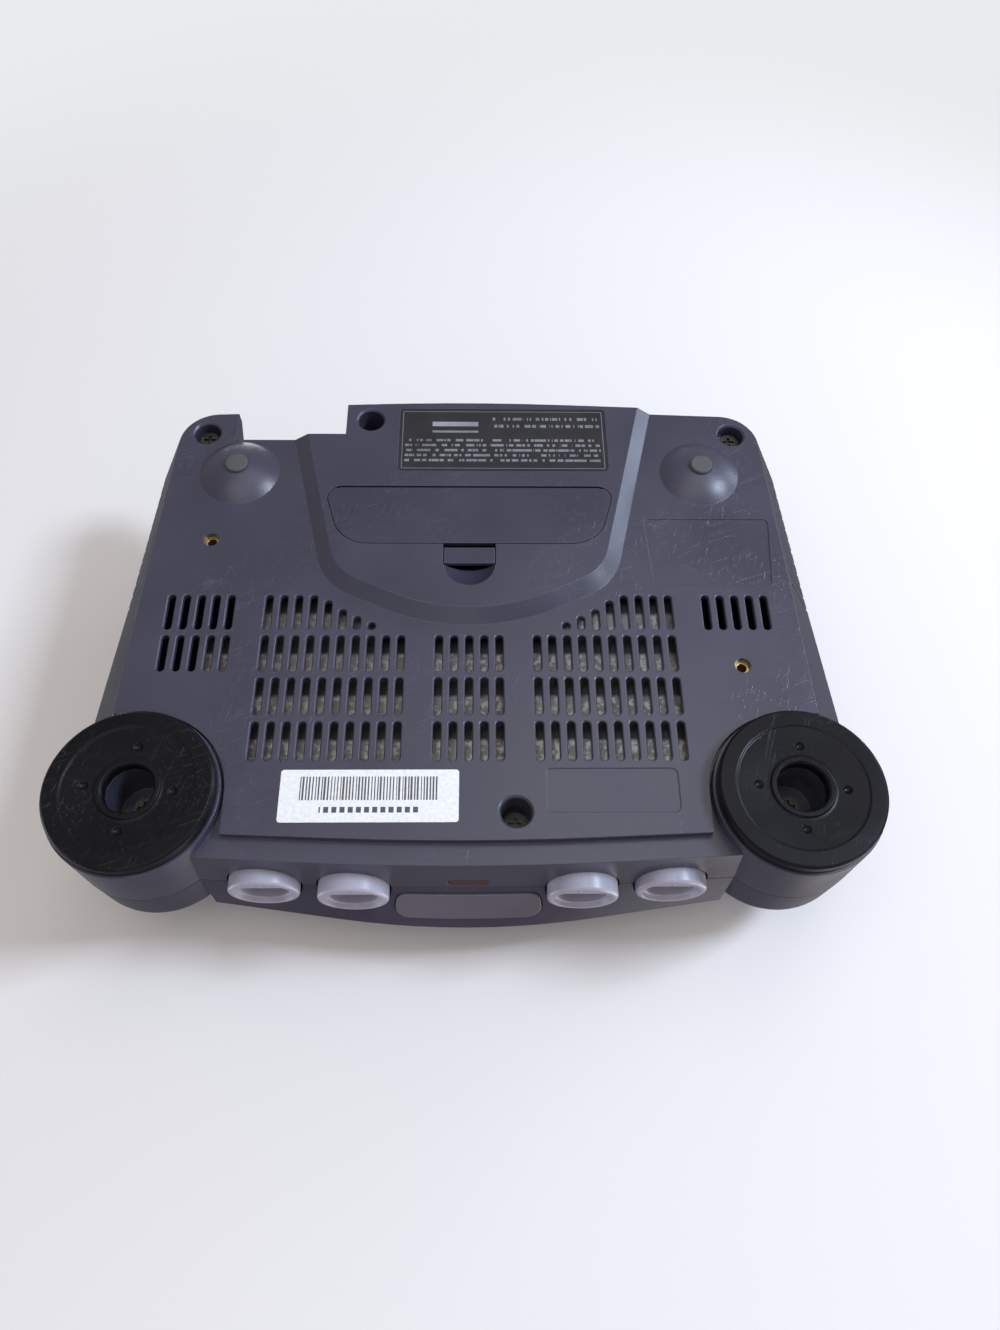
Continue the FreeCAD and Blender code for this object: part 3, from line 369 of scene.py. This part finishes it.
# ---- Boards ------------------------------------------------------------------------------------
# Green glass-fibre boards carry the works. Copper tracks show as paler lines under the lacquer,
# with tinned holes between them.
def board(name, shade):
    """A lacquered board: tracks that run both ways in broken lengths, and holes in the gaps."""
    look = Finish(name)
    eased = rounded(look, 0.0001)
    x, y, _ = look.axes()
    pitch, half_track, half_hole, holes_per_metre = 0.0013, 0.16, 0.16, 420.0
    turned = cloud(look, 0.012, 1.0).ramp(0.48, 0.52)
    along = abs((x / pitch) % 1 - 0.5) < half_track
    across = abs((y / pitch) % 1 - 0.5) < half_track
    tracks = along * turned + across * (1 - turned)
    gaps = cloud(look, 0.004, 0.0).ramp(0.45, 0.5)
    tracks = tracks * gaps
    values = {"Vector": look.place, "Scale": holes_per_metre, "Randomness": 0.25}
    near = look.add("ShaderNodeTexVoronoi", {"feature": "F1"}, values)
    holes = (near < half_hole) * (1 - gaps)
    colour = look.mix(tracks * 0.7, shade, scaled(shade, 1.9))
    colour = look.mix(holes, colour, (0.55, 0.53, 0.5))
    gloss = 0.38 - holes * 0.1
    values = {"Height": tracks, "Distance": 0.00003, "Strength": 0.6, "Normal": eased}
    bump = look.add("ShaderNodeBump", None, values)
    values = {"Base Color": colour, "Roughness": gloss, "Normal": bump, "Metallic": holes * 0.8}
    look.show(look.add("ShaderNodeBsdfPrincipled", None, values))
    return look.block


green = board("green_board", (0.020, 0.095, 0.045))
dress(green, "main_board", "controller_board", "rear_socket_board", "control_board")


# ---- Chips and capacitors ----------------------------------------------------------------------
# Chips are transfer-moulded black epoxy with a fine matt face. The capacitors are aluminium cans
# in dark printed sleeves with a paler stripe for their negative side.
epoxy = moulded("chip_epoxy", (0.014, 0.014, 0.016), 0.55, grain=0.0003, edge=0.0001, edge_wear_and_highlight=0.2,
                grime=0.2, marks=0.2)
dress(epoxy, "chips")
sleeve = Finish("can_sleeve")
x, y, _ = sleeve.axes()
STRIPE_PITCH, HALF_STRIPE = 0.006, 0.1
stripe = abs(((x + y) / STRIPE_PITCH) % 1 - 0.5) < HALF_STRIPE
stripe = stripe * (cloud(sleeve, 0.002, 0.0) > 0.4)
shade = sleeve.mix(stripe, (0.02, 0.025, 0.075), (0.42, 0.44, 0.5))
gloss = cloud(sleeve, 0.003).ramp(0.3, 0.7, 0.22, 0.34)
values = {"Base Color": shade, "Roughness": gloss, "Coat Weight": 0.3}
sleeve.show(sleeve.add("ShaderNodeBsdfPrincipled", None, values))
dress(sleeve.block, "capacitors")


# ---- Screws, springs and pins ------------------------------------------------------------------
# Zinc-plated screws hold the boards and shields. The screws holding the case halves together sit
# in deep wells and are coloured near black as painted shade for those wells. The springs and hinge
# pins are drawn wire, bright and slightly oily.
zinc = metal("zinc_steel", (0.62, 0.61, 0.58), 0.34, blotch=0.004, fleck=0.0006, dirt=0.25)
dress(zinc, "board_screws", "control_board_screws")
# Painted shade: these case screws are coloured near black for the deep shade of their wells.
black = metal("steel_painted_well_shade", (0.11, 0.105, 0.095), 0.36, blotch=0.004, fleck=0.0006, dirt=0.4)
dress(black, "case_screws")
wire = metal("drawn_wire", (0.66, 0.66, 0.67), 0.24, blotch=0.003, fleck=0.0004, dirt=0.2,
             brushed=(400.0, 400.0, 4000.0))
dress(wire, "reset_spring", "flap_spring_front", "flap_spring_rear", "flap_hinge_pins")


# ---- Heat spreader -----------------------------------------------------------------------------
# A milled aluminium block takes the heat of the chips up to the top shield. Its faces carry the
# straight marks of the cutter.
milled = metal("milled_aluminium", (0.78, 0.79, 0.80), 0.3, blotch=0.03, fleck=0.0008, dirt=0.15,
               brushed=(40.0, 4500.0, 900.0))
dress(milled, "heat_spreader")


# ---- Connectors, sockets and switches on the boards --------------------------------------------
# The cartridge and expansion connectors, the rear sockets and the switches are black glass-filled
# nylon. The connector and guide of the memory module are grey.
black_nylon = moulded("black_nylon", (0.020, 0.020, 0.022), 0.48, grain=0.0004, edge=0.0002,
                      edge_wear_and_highlight=0.3, grime=0.2, marks=0.25)
dress(black_nylon, "cartridge_connector", "expansion_connector", "cartridge_guide", "av_connector",
      "power_inlet", "power_switch", "reset_switch")
grey_nylon = moulded("grey_nylon", (0.24, 0.24, 0.26), 0.46, grain=0.0004, edge=0.0002, edge_wear_and_highlight=0.3,
                     grime=0.15, marks=0.25)
dress(grey_nylon, "memory_connector", "memory_guide")


# ---- Memory module -----------------------------------------------------------------------------
# A small board in a dark moulded carrier plugs in under its hatch. The carrier has nearly the
# grain of the case and a glossier face than the upper shell.
carrier = moulded("carrier_plastic", (0.045, 0.046, 0.060), 0.34, grain=0.0004, edge=0.0003,
                  edge_wear_and_highlight=0.4, grime=0.1, marks=0.3)
dress(carrier, "memory_module")


# ---- Controller sockets ------------------------------------------------------------------------
# Four sockets in pale grey plastic stand out of the front wall. They are smooth and a little
# glossy, with light scratches; the contacts inside are plated pins.
SOCKET_GREY = (0.36, 0.355, 0.43)
socket_plastic = moulded("socket_plastic", SOCKET_GREY, 0.33, grain=0.0005, edge=0.0005, edge_wear_and_highlight=0.35,
                         grime=0.12, marks=0.35)
dress(socket_plastic, *(f"controller_socket_{n}" for n in (1, 2, 3, 4)))
plated = metal("plated_pins", (0.80, 0.66, 0.38), 0.25, blotch=0.003, fleck=0.0005, dirt=0.2)
dress(plated, "controller_pins")


# ---- Badge and lamp ----------------------------------------------------------------------------
# A blank satin plate is let into the nose between the sockets. The power lamp is a red body behind
# a smooth, very dark red window in the front strip.
badge = moulded("badge_plastic", (0.105, 0.105, 0.125), 0.28, grain=0.0006, edge=0.0004, edge_wear_and_highlight=0.6,
                grime=0.12, marks=0.5)
dress(badge, "badge_plate")
window = Finish("red_window")
haze = cloud(window, 0.002).ramp(0.3, 0.7, 0.06, 0.16)
values = {"Base Color": (0.045, 0.004, 0.005, 1), "Roughness": haze, "IOR": 1.49}
window.show(window.add("ShaderNodeBsdfPrincipled", None, values))
dress(window.block, "lamp_window")
body = Finish("lamp_body")
depth = cloud(body, 0.003)
shade = body.mix(depth, (0.42, 0.02, 0.02), (0.62, 0.05, 0.04))
values = {"Base Color": shade, "Roughness": depth.ramp(0.3, 0.7, 0.12, 0.25)}
body.show(body.add("ShaderNodeBsdfPrincipled", None, values))
dress(body.block, "power_lamp")


# ---- Power slider and reset button -------------------------------------------------------------
# Both keys are moulded in nearly the case colour with a closer grain. Their edges are painted pale,
# partly where thumbs have rubbed them and partly as a painted highlight. The lever of the power
# switch is the same plastic.
keys = moulded("key_plastic", (0.048, 0.049, 0.066), 0.34, grain=0.0003, edge=0.0005, edge_wear_and_highlight=0.7,
               grime=0.2, marks=0.4)
dress(keys, "power_slider", "switch_lever", "reset_button")


# ---- Upper case and its doors ------------------------------------------------------------------
# The upper shell, the memory hatch and the cartridge flaps share the charcoal plastic of the lower
# shell. They are less scratched than it is, and the upper shell is more matt.
dress(moulded("upper_case_plastic", CHARCOAL, 0.46, marks=0.45, shine=0.30), "top_case")
doors = moulded("door_plastic", scaled(CHARCOAL, 0.95), 0.38, marks=0.35)
dress(doors, "memory_hatch", "slot_flap_front", "slot_flap_rear")


# ---- Expansion cover ---------------------------------------------------------------------------
# A hatch in the raised middle of the underside, held by one springy latch tab. It is the same
# plastic as the case, a shade darker, with its edges painted paler, partly rubbed and partly as a
# painted highlight.
cover = moulded("cover_plastic", scaled(CHARCOAL, 0.93), 0.36, edge_wear_and_highlight=0.8)
dress(cover, "expansion_cover")


# ---- Brass inserts -----------------------------------------------------------------------------
# Two threaded brass inserts are pressed into the underside below small round holes; only a glint
# of the turned brass shows.
brass = metal("turned_brass", (0.76, 0.55, 0.25), 0.26, blotch=0.003, fleck=0.0005, dirt=0.25,
              brushed=(400.0, 400.0, 5000.0))
dress(brass, "insert_left", "insert_right")


# ---- Feet --------------------------------------------------------------------------------------
# The front corners stand on two large black discs with a screw bore; the rear stands on two grey
# rubber pads in domes. The discs are satin and scuffed, the pads dull and dusty.
discs = moulded("foot_plastic", (0.0045, 0.0046, 0.0062), 0.32, grain=0.0004, edge=0.0005,
                edge_wear_and_highlight=0.30, grime=0.25, marks=0.9, shine=0.15)
dress(discs, "front_foot_left", "front_foot_right")
pads = moulded("pad_rubber", (0.075, 0.075, 0.080), 0.72, grain=0.0005, edge=0.0004, edge_wear_and_highlight=0.6,
               grime=0.3, marks=0.7)
dress(pads, "rear_foot_pad_left", "rear_foot_pad_right")


# ---- Rating label ------------------------------------------------------------------------------
# A black foil label is stuck in a shallow recess of the raised middle. Rows of faint dashes, a bar
# and a rule inside a thin frame line stand for its print and say nothing.
def within(term, start, end):
    """1 between start and end."""
    return (term > start) * (term < end)


def dashes(look, x, y, left, right, rows, pitch, tall, gap, seed):
    """Rows of plain dashes, between left and right, one row under another."""
    first, last = rows
    step = (y - first) / pitch
    row = floor(step)
    dashes_per_metre, row_shift = 900.0, 7.3
    values = {0: x * dashes_per_metre, 1: row * row_shift + seed, 2: 0.5}
    spot = look.add("ShaderNodeCombineXYZ", None, values)
    marks = look.add("ShaderNodeTexNoise", None, {"Vector": spot, "Scale": 1.0, "Detail": 1.0}) > gap
    band = abs(step % 1 - 0.5) < tall / pitch / 2
    return marks * band * within(x, left, right) * within(y, first, last)


def framed(x, y, low, high, inset, width):
    """A thin frame line, inset from a box's edge."""
    outer = within(x, low.x + inset, high.x - inset) * within(y, low.y + inset, high.y - inset)
    more = inset + width
    inner = within(x, low.x + more, high.x - more) * within(y, low.y + more, high.y - more)
    return outer - inner


low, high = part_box("rating_label")
foil = Finish("black_foil")
x, y, _ = foil.axes()
span = high.x - low.x
left = low.x + 0.002
lower_rows = (low.y + 0.0035, low.y + 0.0155)
upper_rows = (low.y + 0.0195, low.y + 0.0265)
small = dashes(foil, x, y, left, high.x - 0.002, lower_rows, pitch=0.0024, tall=0.0011, gap=0.47,
               seed=1.0)
large = dashes(foil, x, y, left, low.x + 0.55 * span, upper_rows, pitch=0.0035, tall=0.0014,
               gap=0.5, seed=4.0)
beside = within(x, low.x + 0.62 * span, high.x - 0.012)
bar = beside * (abs(y - (low.y + 0.0222)) < 0.0011)
rule = beside * (abs(y - (low.y + 0.0185)) < 0.0005)
ink = small.most(large).most(bar * 1.5).most(rule)
line = framed(x, y, low, high, inset=0.0008, width=0.0003)
rub = cloud(foil, 0.012, 4.0)
shade = foil.mix(rub, (0.007, 0.007, 0.010), (0.014, 0.014, 0.019))
shade = foil.mix(ink * rub.ramp(0.2, 0.6, 0.25, 0.6), shade, (0.30, 0.31, 0.35))
shade = foil.mix(line * 0.5, shade, (0.25, 0.25, 0.29))
gloss = rub.ramp(0.3, 0.7, 0.22, 0.34)
values = {"Height": cloud(foil, 0.006, 1.0), "Distance": 0.00005, "Strength": 0.4}
wrinkle = foil.add("ShaderNodeBump", None, values)
values = {"Base Color": shade, "Roughness": gloss, "Normal": wrinkle, "Coat Weight": 0.25}
foil.show(foil.add("ShaderNodeBsdfPrincipled", None, values))
dress(foil.block, "rating_label")


# ---- Serial label ------------------------------------------------------------------------------
# A white paper label is stuck near the front edge. It carries upright bars of uneven width and one
# row of blocks, which stand for its print and say nothing.
low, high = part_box("serial_label")
paper = Finish("white_paper")
x, y, _ = paper.axes()
BAR_CELL, BLOCK_CELL = 0.00096, 0.0025
cell = (x - low.x) / BAR_CELL
chance = paper.add("ShaderNodeTexWhiteNoise", {"noise_dimensions": "1D"}, {"W": floor(cell)})
bar_rows = within(y, low.y + 0.0072, high.y - 0.0023)
bars = (cell % 1 < 0.28 + chance * 0.44) * bar_rows * within(x, low.x + 0.0065, high.x - 0.006)
tile = (x - low.x) / BLOCK_CELL
block_row = within(y, low.y + 0.0031, low.y + 0.0050)
blocks = (tile % 1 < 0.62) * block_row * within(x, low.x + 0.0125, high.x - 0.0125)
fibre = cloud(paper, 0.0012, 4.0)
shade = paper.mix(fibre.ramp(0.3, 0.7), (0.70, 0.70, 0.69), (0.80, 0.80, 0.79))
shade = paper.mix(bars.most(blocks) * 0.93, shade, (0.02, 0.02, 0.025))
soft = paper.add("ShaderNodeBump", None, {"Height": fibre, "Distance": 0.00003, "Strength": 0.4})
values = {"Base Color": shade, "Roughness": fibre.ramp(0.3, 0.7, 0.42, 0.55), "Normal": soft}
paper.show(paper.add("ShaderNodeBsdfPrincipled", None, values))
dress(paper.block, "serial_label")
